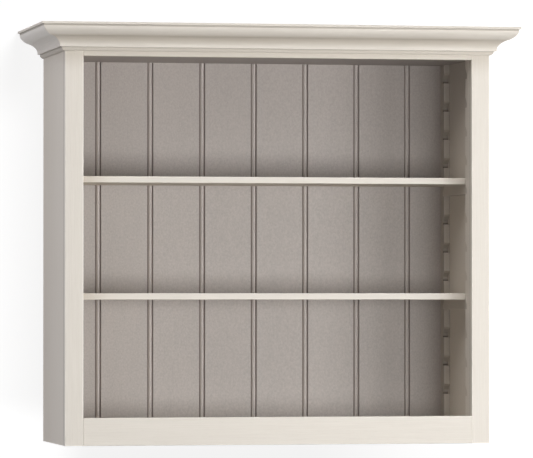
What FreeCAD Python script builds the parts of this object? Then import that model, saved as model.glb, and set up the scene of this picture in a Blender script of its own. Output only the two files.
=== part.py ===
"""Open-front wall cabinet with a crown cornice, a boarded back and two shelves on saw-tooth battens.

Millimetres.  Z is up, X runs to the right as the cabinet is faced, and the open front looks toward -Y.
The origin is the middle of the whole outline, cornice included, at the height of the cabinet's foot.
"""
import FreeCAD, Part
import math
import operator
import os
import types

import Sketcher

SIZES = {
    # carcass
    "body_width": 940,
    "body_depth": 324,
    "body_height": 910,
    "side_thickness": 28,
    "board_thickness": 20,
    "housing_depth": 10,
    # face frame
    "frame_thickness": 20,
    "stile_width": 40,
    "top_rail_height": 70,
    "bottom_rail_height": 60,
    "ceiling_rise": 2,
    "floor_drop": 8,
    "arris_radius": 1.5,
    "tenon_length": 22,
    "tenon_thickness": 8,
    "tenon_shoulder": 10,
    "mortise_spare": 1,
    # cornice
    "cornice_height": 60,
    "cornice_projection": 58,
    "cornice_fillet_height": 4.8,
    "cornice_fillet_step": 4.5,
    "cornice_quirk_height": 3.2,
    "ogee_reach": 20,
    "ogee_slack": 6.3,
    "bead_mould_radius": 8,
    "bead_mould_height": 9,
    # boarded back and the rails behind it
    "back_board_thickness": 14,
    "bead_spacing": 10.7,
    "bead_quirk_width": 3.2,
    "tongue_length": 6,
    "tongue_thickness": 4,
    "tongue_setback": 6,
    "tongue_clearance": 0.2,
    "back_rail_thickness": 22,
    "hanging_rail_height": 90,
    "lower_rail_height": 60,
    # saw-tooth battens, cleats and shelves
    "batten_depth": 36,
    "batten_thickness": 12,
    "notch_pitch": 63.5,
    "first_notch_height": 102.5,
    "notch_depth": 14,
    "notch_mouth": 22.5,
    "notch_throat": 9,
    "notch_headroom": 10,
    "cleat_height": 21.5,
    "cleat_clearance": 0.5,
    "shelf_thickness": 14,
    "shelf_clearance": 1,
    "lower_shelf_notch_count": 3,
    "upper_shelf_notch_count": 7,
    # keyhole hangers
    "hanger_spacing": 700,
    "hanger_width": 24,
    "hanger_height": 64,
    "hanger_thickness": 2,
    "keyhole_radius": 5.5,
    "keyhole_slot_width": 5.5,
    "keyhole_drop": 14,
    "keyhole_cavity_depth": 10,
    "keyhole_cavity_margin": 2,
    "hanger_screw_spacing": 50,
    "hanger_screw_diameter": 3.5,
    "hanger_screw_length": 16,
    # hidden fixings
    "fixing_clearance": 0.1,
    "dowel_diameter": 8,
    "frame_dowel_length": 36,
    "frame_dowel_in_stile": 10,
    "frame_dowel_margin": 120,
    "rail_dowel_length": 30,
    "rail_dowel_in_side": 12,
    "rail_dowel_margin": 18,
    "brad_diameter": 2,
    "brad_length": 30,
    "brad_margin": 28,
    "cornice_screw_diameter": 4,
    "cornice_screw_length": 45,
    "cornice_screw_drop": 22,
    "cornice_screw_margin": 80,
    "block_width": 24,
    "block_length": 70,
    "block_margin": 90,
}
BACK_BOARDS = 8
FRAME_DOWELS = 4
FRONT_CORNICE_SCREWS = 4
GLUE_BLOCKS = 4

doc = FreeCAD.newDocument("wall_cabinet")
sheet = doc.addObject("Spreadsheet::Sheet", "Sizes")
for line, (alias, value) in enumerate(SIZES.items(), start=1):
    sheet.set(f"A{line}", alias)
    sheet.set(f"B{line}", str(value))
    sheet.setAlias(f"B{line}", alias)
doc.recompute()

OPERATIONS = {"+": operator.add, "-": operator.sub, "*": operator.mul, "/": operator.truediv}


class Formula:
    """A size worked out from the sheet: its text, which the document keeps, and its value at the start."""

    def __init__(self, text, value):
        self.text = text
        self.value = value

    def __add__(self, other):
        return combined(self, "+", other)

    def __radd__(self, other):
        return combined(other, "+", self)

    def __sub__(self, other):
        return combined(self, "-", other)

    def __rsub__(self, other):
        return combined(other, "-", self)

    def __mul__(self, other):
        return combined(self, "*", other)

    def __rmul__(self, other):
        return combined(other, "*", self)

    def __truediv__(self, other):
        return combined(self, "/", other)

    def __neg__(self):
        return combined(0, "-", self)


def as_formula(item):
    """A plain number taken as a formula."""
    return item if isinstance(item, Formula) else Formula(str(item), item)


def combined(first, sign, second):
    """Two sizes joined by a sign of arithmetic."""
    first = as_formula(first)
    second = as_formula(second)
    return Formula(f"({first.text} {sign} {second.text})", OPERATIONS[sign](first.value, second.value))


def whole(formula):
    """The whole number just below a size."""
    return Formula(f"floor({formula.text})", math.floor(formula.value))


def root(formula):
    """The square root of a size."""
    return Formula(f"sqrt({formula.text})", math.sqrt(formula.value))


S = types.SimpleNamespace(**{alias: Formula(f"Sizes.{alias}", value) for alias, value in SIZES.items()})

# Planes and edges that several pieces share
FRONT = (S.cornice_projection - S.body_depth) / 2
WALL = (S.cornice_projection + S.body_depth) / 2
FRAME_BACK = FRONT + S.frame_thickness
BOARD_BACK = WALL - S.back_rail_thickness
BOARD_FACE = BOARD_BACK - S.back_board_thickness
HALF_WIDTH = S.body_width / 2
SIDE_FACE = HALF_WIDTH - S.side_thickness
HOUSED_EDGE = SIDE_FACE + S.housing_depth
OPENING_EDGE = HALF_WIDTH - S.stile_width
BATTEN_FACE = SIDE_FACE - S.batten_thickness
CEILING = S.body_height - S.top_rail_height + S.ceiling_rise
FLOOR = S.bottom_rail_height - S.floor_drop
CARCASS_TOP = CEILING + S.board_thickness
CARCASS_FOOT = FLOOR - S.board_thickness
CORNICE_FOOT = S.body_height - S.cornice_height
FRONT_MOUTH = FRAME_BACK + S.batten_depth
REAR_MOUTH = BOARD_FACE - S.batten_depth
HANGER_HEIGHT = CARCASS_TOP - S.hanging_rail_height / 2
LOWER_LEDGE = S.first_notch_height + S.notch_pitch * S.lower_shelf_notch_count
UPPER_LEDGE = S.first_notch_height + S.notch_pitch * S.upper_shelf_notch_count
BOARD_COVER = S.body_width / BACK_BOARDS

ALONG_X = FreeCAD.Rotation(FreeCAD.Vector(0, 1, 0), 90)
ALONG_MINUS_X = FreeCAD.Rotation(FreeCAD.Vector(0, 1, 0), -90)
ALONG_Y = FreeCAD.Rotation(FreeCAD.Vector(1, 0, 0), -90)
ALONG_MINUS_Y = FreeCAD.Rotation(FreeCAD.Vector(1, 0, 0), 90)

pieces = []


def keep(item):
    """Count a finished object as one of the cabinet's pieces."""
    pieces.append(item)
    return item


def upright(angle):
    """Stand a drawing up: its Y becomes Z, and its X points at the angle from X in plan."""
    return FreeCAD.Rotation(FreeCAD.Vector(0, 0, 1), angle) * FreeCAD.Rotation(FreeCAD.Vector(1, 0, 0), 90)


def bind(item, **formulas):
    """Tie properties of an object to sizes."""
    for name, formula in formulas.items():
        item.setExpression(name, as_formula(formula).text)


def place(item, position, turn=FreeCAD.Rotation()):
    """Set an object's turn, and tie its position to sizes."""
    item.Placement = FreeCAD.Placement(FreeCAD.Vector(), turn)
    for axis, formula in zip("xyz", position):
        item.setExpression(f"Placement.Base.{axis}", as_formula(formula).text)
    return item


def box(name, low, high):
    """A square-edged block between two opposite corners."""
    item = doc.addObject("Part::Box", name)
    bind(item, Length=high[0] - low[0], Width=high[1] - low[1], Height=high[2] - low[2])
    return place(item, low)


def rod(name, diameter, length, position, turn):
    """A round rod that starts at a position and runs the way it is turned."""
    item = doc.addObject("Part::Cylinder", name)
    bind(item, Radius=diameter / 2, Height=length)
    return place(item, position, turn)


def screw(name, diameter, length, position, turn):
    """A countersunk screw whose head is flush at its position: the head is twice as wide as the shank."""
    head = doc.addObject("Part::Cone", name + "_head")
    bind(head, Radius1=diameter, Radius2=diameter / 2, Height=diameter / 2)
    place(head, position, turn)
    shank = rod(name + "_shank", diameter, length, position, turn)
    return fuse(name, [head, shank])


def fuse(name, items):
    """Several blocks as one."""
    whole_piece = doc.addObject("Part::MultiFuse", name)
    whole_piece.Shapes = items
    whole_piece.Refine = True
    return whole_piece


def cut(name, blank, tools):
    """What is left of a blank after the tools are taken out of it."""
    rest = doc.addObject("Part::Cut", name)
    rest.Base = blank
    rest.Tool = fuse(name + "_tools", tools) if len(tools) > 1 else tools[0]
    return rest


def group(name, items):
    """Separate fixings of one kind, kept together."""
    together = doc.addObject("Part::Compound", name)
    together.Links = items
    return together


def hold(drawing, kind, number, position, formula):
    """Tie one coordinate of a point in a drawing to a size."""
    formula = as_formula(formula)
    index = drawing.addConstraint(Sketcher.Constraint(kind, -1, 1, number, position, formula.value))
    drawing.setExpression(f"Constraints[{index}]", formula.text)


def flat(point):
    """The starting place of a drawing's point."""
    return FreeCAD.Vector(as_formula(point[0]).value, as_formula(point[1]).value, 0)


class Arc:
    """Marks the edge between two corners as part of a circle about a centre."""

    def __init__(self, x, y, clockwise=False):
        self.centre = (x, y)
        self.clockwise = clockwise

    def curve(self, start, end):
        """The circular edge from start to end."""
        middle = flat(self.centre)
        first, last = (end, start) if self.clockwise else (start, end)
        angles = [math.atan2(point.y - middle.y, point.x - middle.x) for point in (first, last)]
        if angles[1] <= angles[0]:
            angles[1] += 2 * math.pi
        circle = Part.Circle(middle, FreeCAD.Vector(0, 0, 1), (start - middle).Length)
        return Part.ArcOfCircle(circle, angles[0], angles[1])


def draw(body, name, outline, role="XY_Plane"):
    """A closed outline of corners, with an Arc between two corners whose edge is round."""
    drawing = body.newObject("Sketcher::SketchObject", name)
    plane = next(item for item in body.Origin.OriginFeatures if item.Role == role)
    drawing.AttachmentSupport = [(plane, "")]
    drawing.MapMode = "FlatFace"
    corners = [item for item in outline if not isinstance(item, Arc)]
    arcs = {}
    for item in outline:
        if isinstance(item, Arc):
            arcs[passed - 1] = item
        else:
            passed = 1 if item is corners[0] else passed + 1
    edges = []
    for index, corner in enumerate(corners):
        start = flat(corner)
        end = flat(corners[(index + 1) % len(corners)])
        arc = arcs.get(index)
        curve = arc.curve(start, end) if arc else Part.LineSegment(start, end)
        number = drawing.addGeometry(curve, False)
        edges.append((number, 2, 1) if arc and arc.clockwise else (number, 1, 2))
    for index, (number, first, last) in enumerate(edges):
        following, begin, _ = edges[(index + 1) % len(edges)]
        drawing.addConstraint(Sketcher.Constraint("Coincident", number, last, following, begin))
        hold(drawing, "DistanceX", number, first, corners[index][0])
        hold(drawing, "DistanceY", number, first, corners[index][1])
        if index in arcs:
            hold(drawing, "DistanceY", number, 3, arcs[index].centre[1])
    return drawing


def padded(name, outline, length, position, turn=FreeCAD.Rotation()):
    """A body with one outline carried along a length."""
    body = doc.addObject("PartDesign::Body", name)
    place(body, position, turn)
    pad = body.newObject("PartDesign::Pad", name + "_pad")
    pad.Profile = draw(body, name + "_outline", outline)
    bind(pad, Length=length)
    return body


def pocketed(body, name, drawing, reverse):
    """A cut right through a body."""
    pocket = body.newObject("PartDesign::Pocket", name)
    pocket.Profile = drawing
    pocket.Type = "ThroughAll"
    pocket.Reversed = reverse
    return pocket


def spread(low, high, count, index):
    """One of several places spread evenly from low to high."""
    return low + (high - low) * index / (count - 1)


# Places of the hidden fixings
FIXING_HOLE = S.dowel_diameter + 2 * S.fixing_clearance
SIDES = {"left": -1, "right": 1}


def frame_dowel_places(side):
    """Where the dowels between a stile and a side start, inside the stile."""
    x = SIDES[side] * (HALF_WIDTH - S.side_thickness / 2)
    y = FRAME_BACK - S.frame_dowel_in_stile
    low = S.frame_dowel_margin
    high = S.body_height - S.frame_dowel_margin
    return [(x, y, spread(low, high, FRAME_DOWELS, index)) for index in range(FRAME_DOWELS)]


def rail_dowel_places(side):
    """Where the dowels between the back rails and a side start, inside the side."""
    x = SIDES[side] * (HOUSED_EDGE + S.rail_dowel_in_side)
    y = WALL - S.back_rail_thickness / 2
    heights = [
        CARCASS_FOOT + S.rail_dowel_margin,
        CARCASS_FOOT + S.lower_rail_height - S.rail_dowel_margin,
        CARCASS_TOP - S.hanging_rail_height + S.rail_dowel_margin,
        CARCASS_TOP - S.rail_dowel_margin,
    ]
    return [(x, y, height) for height in heights]


def cornice_screw_places():
    """Where the cornice screws' heads lie and which way each runs, in the order front, left, right."""
    height = S.body_height - S.cornice_screw_drop
    reach = OPENING_EDGE - S.cornice_screw_margin
    front = [
        ((spread(-reach, reach, FRONT_CORNICE_SCREWS, index), FRAME_BACK, height), ALONG_MINUS_Y)
        for index in range(FRONT_CORNICE_SCREWS)
    ]
    ends = {"front": front}
    for side, sign in SIDES.items():
        turn = ALONG_X if sign > 0 else ALONG_MINUS_X
        depths = [FRAME_BACK + S.cornice_screw_margin, BOARD_FACE - S.cornice_screw_margin]
        ends[side] = [((sign * SIDE_FACE, depth, height), turn) for depth in depths]
    return ends


def rods(name, diameter, length, places, turn):
    """One rod at each place."""
    return [
        rod(f"{name}_{index}", diameter, length, position, turn)
        for index, position in enumerate(places)
    ]


def dowel_turn(side):
    """The way a back-rail dowel runs from inside a side into the rails."""
    return ALONG_MINUS_X if side == "right" else ALONG_X


def frame_dowel_holes(name, side):
    """Holes for the dowels between a stile and a side."""
    return rods(name, FIXING_HOLE, S.frame_dowel_length, frame_dowel_places(side), ALONG_Y)


def rail_dowel_holes(name, side):
    """Holes for the dowels between the back rails and a side."""
    return rods(name, FIXING_HOLE, S.rail_dowel_length, rail_dowel_places(side), dowel_turn(side))


def cornice_screw_holes(name, end):
    """Countersunk holes for the screws of one length of cornice."""
    diameter = S.cornice_screw_diameter + 2 * S.fixing_clearance
    return [
        screw(f"{name}_{index}", diameter, S.cornice_screw_length, position, turn)
        for index, (position, turn) in enumerate(cornice_screw_places()[end])
    ]


# Boarded back: each board's left joint, counted from the left
def joint(index):
    """X of the joint at the left of a back board."""
    return BOARD_COVER * (index - BACK_BOARDS / 2) - S.bead_spacing / 2


def board_edges(index):
    """X of a back board's left and right ends."""
    left = -HOUSED_EDGE if index == 0 else joint(index)
    right = HOUSED_EDGE if index == BACK_BOARDS - 1 else joint(index + 1)
    return left, right


def brad_places(indices, heights):
    """Where brads start at the boards' back, two to a board at each height."""
    places = []
    for index in indices:
        left, right = board_edges(index)
        for x in (left + S.brad_margin, right - S.brad_margin):
            places += [(x, BOARD_BACK, height) for height in heights]
    return places


TOP_BRADS = CEILING + S.board_thickness / 2
BOTTOM_BRADS = FLOOR - S.board_thickness / 2


def brad_holes(name, indices, heights):
    """Holes for brads driven forward from the boards' back."""
    diameter = S.brad_diameter + 2 * S.fixing_clearance
    return rods(name, diameter, S.brad_length, brad_places(indices, heights), ALONG_MINUS_Y)


# Carcass
def carcass_side(side):
    """A side board, housed for the top and bottom boards and rebated for the boarded back."""
    name = f"{side}_side"
    sign = SIDES[side]

    def slab(part, inner, outer, near, far, low, high):
        first, last = (inner, outer) if sign > 0 else (-outer, -inner)
        return box(f"{name}_{part}", (first, near, low), (last, far, high))

    blank = slab("blank", SIDE_FACE, HALF_WIDTH, FRAME_BACK, WALL, 0, S.body_height)
    tools = [
        slab("rebate", SIDE_FACE, HOUSED_EDGE, BOARD_FACE, WALL, 0, S.body_height),
        slab("top_housing", SIDE_FACE, HOUSED_EDGE, FRAME_BACK, BOARD_FACE, CEILING, CARCASS_TOP),
        slab("bottom_housing", SIDE_FACE, HOUSED_EDGE, FRAME_BACK, BOARD_FACE, CARCASS_FOOT, FLOOR),
    ]
    tools += frame_dowel_holes(name + "_frame_dowel_hole", side)
    tools += rail_dowel_holes(name + "_rail_dowel_hole", side)
    tools += cornice_screw_holes(name + "_screw_hole", side)
    return cut(name, blank, tools)


def carcass_board(name, low, brad_height):
    """A board housed between the sides, with the boarded back nailed to its rear edge."""
    blank = box(
        name + "_blank", (-HOUSED_EDGE, FRAME_BACK, low), (HOUSED_EDGE, BOARD_FACE, low + S.board_thickness)
    )
    return cut(name, blank, brad_holes(name + "_hole", range(BACK_BOARDS), [brad_height]))


for side in SIDES:
    keep(carcass_side(side))
keep(carcass_board("top_board", CEILING, TOP_BRADS))
keep(carcass_board("bottom_board", CARCASS_FOOT, BOTTOM_BRADS))


# Face frame
def tenon_bounds(rail_foot, rail_height):
    """The faces of a tenon, front and back, then its foot and top."""
    front = FRONT + (S.frame_thickness - S.tenon_thickness) / 2
    low = rail_foot + S.tenon_shoulder
    high = rail_foot + rail_height - S.tenon_shoulder
    return front, front + S.tenon_thickness, low, high


RAILS = {
    "top_rail": (S.body_height - S.top_rail_height, S.top_rail_height),
    "bottom_rail": (0, S.bottom_rail_height),
}


def stile(side):
    """A full-height stile with rounded front arrises, mortised for both rails."""
    name = f"{side}_stile"
    sign = SIDES[side]
    width = S.stile_width
    radius = S.arris_radius
    outline = [
        (0, S.frame_thickness),
        (0, radius),
        Arc(radius, radius),
        (radius, 0),
        (width - radius, 0),
        Arc(width - radius, radius),
        (width, radius),
        (width, S.frame_thickness),
    ]
    start = OPENING_EDGE if sign > 0 else -HALF_WIDTH
    blank = padded(name + "_blank", outline, S.body_height, (start, FRONT, 0))
    tools = []
    depth = S.tenon_length + S.mortise_spare
    for rail, (foot, height) in RAILS.items():
        front, back, low, high = tenon_bounds(foot, height)
        near = OPENING_EDGE if sign > 0 else -OPENING_EDGE - depth
        tools.append(box(f"{name}_{rail}_mortise", (near, front, low), (near + depth, back, high)))
    tools += frame_dowel_holes(name + "_dowel_hole", side)
    return cut(name, blank, tools)


def rail(name):
    """A rail between the stiles, with rounded front arrises and a tenon at each end."""
    foot, height = RAILS[name]
    depth = S.frame_thickness
    radius = S.arris_radius
    outline = [
        (0, 0),
        (depth - radius, 0),
        Arc(depth - radius, radius),
        (depth, radius),
        (depth, height - radius),
        Arc(depth - radius, height - radius),
        (depth - radius, height),
        (0, height),
    ]
    bar = padded(name + "_bar", outline, 2 * OPENING_EDGE, (OPENING_EDGE, FRAME_BACK, foot), upright(-90))
    front, back, low, high = tenon_bounds(foot, height)
    reach = OPENING_EDGE + S.tenon_length
    tenons = box(name + "_tenons", (-reach, front, low), (reach, back, high))
    return fuse(name + "_blank" if name == "top_rail" else name, [bar, tenons])


for side in SIDES:
    keep(stile(side))
keep(cut("top_rail", rail("top_rail"), cornice_screw_holes("top_rail_hole", "front")))
keep(rail("bottom_rail"))


# Cornice
def cornice_outline():
    """The moulding's section: X is its reach from the body and Y its height above the moulding's foot.

    From the foot: a quarter-round bead, a step, a hollow and a round, a quirk and a fillet. The hollow and the
    round are alike and go as far out as up. They are slacker than quarter circles, so the centre of each lies
    beyond a quarter circle's, by the slack across and the slack up or down.
    """
    bead = S.bead_mould_radius
    turn = S.ogee_reach
    slack = S.ogee_slack
    fillet_foot = S.cornice_height - S.cornice_fillet_height
    round_reach = S.cornice_projection - S.cornice_fillet_step
    round_top = fillet_foot - S.cornice_quirk_height
    hollow_reach = round_reach - 2 * turn
    hollow_foot = round_top - 2 * turn
    return [
        (0, 0),
        Arc(0, bead),
        (bead, bead),
        (bead, S.bead_mould_height),
        (hollow_reach, S.bead_mould_height),
        (hollow_reach, hollow_foot),
        Arc(hollow_reach + turn + slack, hollow_foot - slack, clockwise=True),
        (hollow_reach + turn, hollow_foot + turn),
        Arc(hollow_reach + turn - slack, round_top + slack),
        (round_reach, round_top),
        (round_reach, fillet_foot),
        (S.cornice_projection, fillet_foot),
        (S.cornice_projection, S.cornice_height),
        (0, S.cornice_height),
    ]


def cornice(end, length, position, angle, near_mitre, far_mitre):
    """One length of cornice, mitred at its near end, its far end or both, and drilled for its screws."""
    name = f"cornice_{end}"
    body = padded(name + "_blank", cornice_outline(), length, position, upright(angle))
    reach = S.cornice_projection
    if near_mitre:
        wedge = [(0, 0), (reach, 0), (0, reach)]
        pocketed(body, name + "_near_mitre", draw(body, name + "_near_wedge", wedge, "XZ_Plane"), False)
    if far_mitre:
        wedge = [(0, length), (0, length - reach), (reach, length)]
        pocketed(body, name + "_far_mitre", draw(body, name + "_far_wedge", wedge, "XZ_Plane"), False)
    return cut(name, body, cornice_screw_holes(name + "_hole", end))


CORNICE_REACH = HALF_WIDTH + S.cornice_projection
RETURN_LENGTH = S.body_depth + S.cornice_projection
RETURN_FRONT = FRONT - S.cornice_projection
keep(cornice("front", 2 * CORNICE_REACH, (CORNICE_REACH, FRONT, CORNICE_FOOT), -90, True, True))
keep(cornice("left", RETURN_LENGTH, (-HALF_WIDTH, RETURN_FRONT, CORNICE_FOOT), 180, True, False))
keep(cornice("right", RETURN_LENGTH, (HALF_WIDTH, WALL, CORNICE_FOOT), 0, False, True))


# Boarded back
def back_board(index):
    """A board with a tongue and a half-round bead at its left joint and a groove at its right joint.

    X runs from the board's left joint and Y from its face to its back.
    The outer boards have a plain outer edge.
    """
    left, right = board_edges(index)
    width = right - left
    half_quirk = S.bead_quirk_width / 2
    bead_radius = S.bead_spacing / 2 - half_quirk
    spacing = S.bead_spacing
    back = S.back_board_thickness
    tongue_front = S.tongue_setback
    tongue_back = S.tongue_setback + S.tongue_thickness
    groove_front = tongue_front - S.tongue_clearance / 2
    groove_back = tongue_back + S.tongue_clearance / 2
    groove_foot = width - S.tongue_length - S.tongue_clearance
    plain_left = [(0, back), (0, 0)]
    jointed_left = [
        (0, back),
        (0, tongue_back),
        (-S.tongue_length, tongue_back),
        (-S.tongue_length, tongue_front),
        (0, tongue_front),
        (0, bead_radius),
        (half_quirk, bead_radius),
        Arc(spacing / 2, bead_radius),
        (spacing - half_quirk, bead_radius),
        (spacing + half_quirk, bead_radius),
        (spacing + half_quirk, 0),
    ]
    plain_right = [(width, 0), (width, back)]
    jointed_right = [
        (width - half_quirk, 0),
        (width - half_quirk, bead_radius),
        (width, bead_radius),
        (width, groove_front),
        (groove_foot, groove_front),
        (groove_foot, groove_back),
        (width, groove_back),
        (width, back),
    ]
    outline = plain_left if index == 0 else jointed_left
    outline = outline + (plain_right if index == BACK_BOARDS - 1 else jointed_right)
    name = f"back_board_{index + 1}"
    blank = padded(name + "_blank", outline, CARCASS_TOP - CARCASS_FOOT, (left, BOARD_FACE, CARCASS_FOOT))
    return cut(name, blank, brad_holes(name + "_hole", [index], [TOP_BRADS, BOTTOM_BRADS]))


for index in range(BACK_BOARDS):
    keep(back_board(index))


# Rails behind the boarded back, and the keyhole hangers
HANGERS = {side: sign * S.hanger_spacing / 2 for side, sign in SIDES.items()}


def hanger_screw_places():
    """Where the heads of the hanger screws lie."""
    half = S.hanger_screw_spacing / 2
    return [(x, WALL, HANGER_HEIGHT + offset) for x in HANGERS.values() for offset in (-half, half)]


def hanger_screws(name, clearance):
    """The hanger screws, or their holes where there is a clearance."""
    diameter = S.hanger_screw_diameter + 2 * clearance
    return [
        screw(f"{name}_{index}", diameter, S.hanger_screw_length, position, ALONG_MINUS_Y)
        for index, position in enumerate(hanger_screw_places())
    ]


def back_rail(name, low, height, more_tools):
    """A rail between the sides, against the wall."""
    blank = box(name + "_blank", (-HOUSED_EDGE, BOARD_BACK, low), (HOUSED_EDGE, WALL, low + height))
    holes = []
    for side in SIDES:
        holes += rail_dowel_holes(f"{name}_{side}_hole", side)
    return cut(name, blank, holes + more_tools)


def hanger_recesses():
    """The shallow seat of each hanger plate, and the hollow behind its keyhole for a screw's head."""
    tools = []
    for side, x in HANGERS.items():
        wide = S.hanger_width / 2
        seat = WALL - S.hanger_thickness
        seat_foot = HANGER_HEIGHT - S.hanger_height / 2
        seat_top = HANGER_HEIGHT + S.hanger_height / 2
        narrow = S.keyhole_radius + S.keyhole_cavity_margin
        hollow_foot = HANGER_HEIGHT - S.keyhole_drop / 2 - narrow
        hollow_top = HANGER_HEIGHT + S.keyhole_drop / 2 + narrow
        tools.append(box(f"{side}_hanger_seat", (x - wide, seat, seat_foot), (x + wide, WALL, seat_top)))
        tools.append(
            box(
                f"{side}_keyhole_hollow",
                (x - narrow, seat - S.keyhole_cavity_depth, hollow_foot),
                (x + narrow, WALL, hollow_top),
            )
        )
    return tools


def hanger_plate(side):
    """A steel plate flush with the rail's back: a round entry, and a slot up to where the screw hangs."""
    name = f"{side}_hanger_plate"
    wide = S.hanger_width / 2
    tall = S.hanger_height / 2
    outline = [(-wide, -tall), (wide, -tall), (wide, tall), (-wide, tall)]
    centre = (HANGERS[side], WALL, HANGER_HEIGHT)
    plate = padded(name + "_blank", outline, S.hanger_thickness, centre, upright(0))
    half_slot = S.keyhole_slot_width / 2
    entry = -S.keyhole_drop / 2
    neck = entry + root(S.keyhole_radius * S.keyhole_radius - half_slot * half_slot)
    top = S.keyhole_drop / 2
    keyhole = [
        (half_slot, neck),
        (half_slot, top),
        Arc(0, top),
        (-half_slot, top),
        (-half_slot, neck),
        Arc(0, entry),
    ]
    pocketed(plate, name + "_keyhole", draw(plate, name + "_keyhole_outline", keyhole), True)
    return cut(name, plate, hanger_screws(name + "_hole", S.fixing_clearance))


UPPER_RAIL_FOOT = CARCASS_TOP - S.hanging_rail_height
rail_tools = hanger_recesses() + hanger_screws("hanging_rail_screw_hole", S.fixing_clearance)
keep(back_rail("hanging_rail", UPPER_RAIL_FOOT, S.hanging_rail_height, rail_tools))
keep(back_rail("lower_back_rail", CARCASS_FOOT, S.lower_rail_height, []))
for side in SIDES:
    keep(hanger_plate(side))


# Saw-tooth battens and the cleats between them
NOTCHES = whole((CEILING - S.first_notch_height - S.notch_mouth - S.notch_headroom) / S.notch_pitch) + 1


def batten(name, position, angle):
    """An upright with a row of notches: flat ledges below, sloping sides above."""
    depth = S.batten_depth
    length = CEILING - FLOOR
    outline = [(0, 0), (depth, 0), (depth, length), (0, length)]
    body = padded(name, outline, S.batten_thickness, position, upright(angle))
    ledge = S.first_notch_height - FLOOR
    throat = depth - S.notch_depth
    notch = [
        (depth, ledge),
        (depth, ledge + S.notch_mouth),
        (throat, ledge + S.notch_throat),
        (throat, ledge),
    ]
    drawing = draw(body, name + "_notch_outline", notch)
    first = pocketed(body, name + "_notch", drawing, True)
    row = body.newObject("PartDesign::LinearPattern", name + "_notches")
    row.Originals = [first]
    row.Direction = (drawing, ["V_Axis"])
    row.Mode = "Spacing"
    bind(row, Offset=S.notch_pitch, Occurrences=NOTCHES)
    body.Tip = row
    return body


def cleat(name, x, ledge):
    """A loose bar whose ends lie in two facing notches, sloped above to clear the notches' sides."""
    reach = S.notch_depth - S.cleat_clearance
    length = REAR_MOUTH - FRONT_MOUTH + 2 * reach
    shoulder = S.notch_throat - S.cleat_clearance
    outline = [
        (0, 0),
        (length, 0),
        (length, shoulder),
        (length - reach, S.cleat_height),
        (reach, S.cleat_height),
        (0, shoulder),
    ]
    return padded(name, outline, S.batten_thickness, (x, FRONT_MOUTH - reach, ledge), upright(90))


for side, sign in SIDES.items():
    inner, outer = (BATTEN_FACE, SIDE_FACE) if sign > 0 else (-SIDE_FACE, -BATTEN_FACE)
    keep(batten(f"{side}_front_batten", (inner, FRAME_BACK, FLOOR), 90))
    keep(batten(f"{side}_rear_batten", (outer, BOARD_FACE, FLOOR), -90))
    keep(cleat(f"{side}_lower_cleat", inner, LOWER_LEDGE))
    keep(cleat(f"{side}_upper_cleat", inner, UPPER_LEDGE))


# Shelves
def shelf(name, ledge):
    """A shelf with rounded front arrises, from side to side, cut round the rear battens at its corners."""
    half = SIDE_FACE - S.shelf_clearance
    rear = BOARD_FACE - S.shelf_clearance
    depth = rear - FRONT_MOUTH - S.shelf_clearance
    foot = ledge + S.cleat_height
    radius = S.arris_radius
    outline = [
        (0, 0),
        (depth - radius, 0),
        Arc(depth - radius, radius),
        (depth, radius),
        (depth, S.shelf_thickness - radius),
        Arc(depth - radius, S.shelf_thickness - radius),
        (depth - radius, S.shelf_thickness),
        (0, S.shelf_thickness),
    ]
    blank = padded(name + "_blank", outline, 2 * half, (half, rear, foot), upright(-90))
    edge = BATTEN_FACE - S.shelf_clearance
    near = REAR_MOUTH - S.shelf_clearance
    top = foot + S.shelf_thickness
    corners = [
        box(name + "_left_corner", (-half, near, foot), (-edge, rear, top)),
        box(name + "_right_corner", (edge, near, foot), (half, rear, top)),
    ]
    return cut(name, blank, corners)


keep(shelf("lower_shelf", LOWER_LEDGE))
keep(shelf("upper_shelf", UPPER_LEDGE))


# Hidden fixings
def glue_blocks(name, low):
    """Square blocks in the corner between a rail of the face frame and a carcass board."""
    blocks = []
    reach = OPENING_EDGE - S.block_margin - S.block_length
    for index in range(GLUE_BLOCKS):
        x = spread(-reach, reach, GLUE_BLOCKS, index)
        half = S.block_length / 2
        far = FRAME_BACK + S.block_width
        top = low + S.block_width
        blocks.append(box(f"{name}_{index}", (x - half, FRAME_BACK, low), (x + half, far, top)))
    return group(name, blocks)


def all_frame_dowels():
    """Every dowel between the stiles and the sides."""
    dowels = []
    for side in SIDES:
        places = frame_dowel_places(side)
        dowels += rods(f"{side}_frame_dowel", S.dowel_diameter, S.frame_dowel_length, places, ALONG_Y)
    return dowels


def all_rail_dowels():
    """Every dowel between the back rails and the sides."""
    dowels = []
    for side in SIDES:
        places = rail_dowel_places(side)
        dowels += rods(f"{side}_rail_dowel", S.dowel_diameter, S.rail_dowel_length, places, dowel_turn(side))
    return dowels


def all_cornice_screws():
    """Every screw that holds the cornice, driven from inside."""
    screws = []
    for end, places in cornice_screw_places().items():
        for index, (position, turn) in enumerate(places):
            name = f"{end}_cornice_screw_{index}"
            screws.append(screw(name, S.cornice_screw_diameter, S.cornice_screw_length, position, turn))
    return screws


all_brads = brad_places(range(BACK_BOARDS), [TOP_BRADS, BOTTOM_BRADS])
keep(glue_blocks("top_glue_blocks", CARCASS_TOP))
keep(glue_blocks("bottom_glue_blocks", CARCASS_FOOT - S.block_width))
keep(group("frame_dowels", all_frame_dowels()))
keep(group("rail_dowels", all_rail_dowels()))
keep(group("back_brads", rods("back_brad", S.brad_diameter, S.brad_length, all_brads, ALONG_MINUS_Y)))
keep(group("cornice_screws", all_cornice_screws()))
keep(group("hanger_screws", hanger_screws("hanger_screw", 0)))

doc.recompute()

for item in doc.Objects:
    if "Invalid" in item.State or "Error" in item.State:
        raise RuntimeError(f"{item.Label} could not be made: {item.State}")
for piece in pieces:
    if piece.Shape.isNull() or not piece.Shape.isValid():
        raise RuntimeError(f"{piece.Label} has no sound shape")

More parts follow.
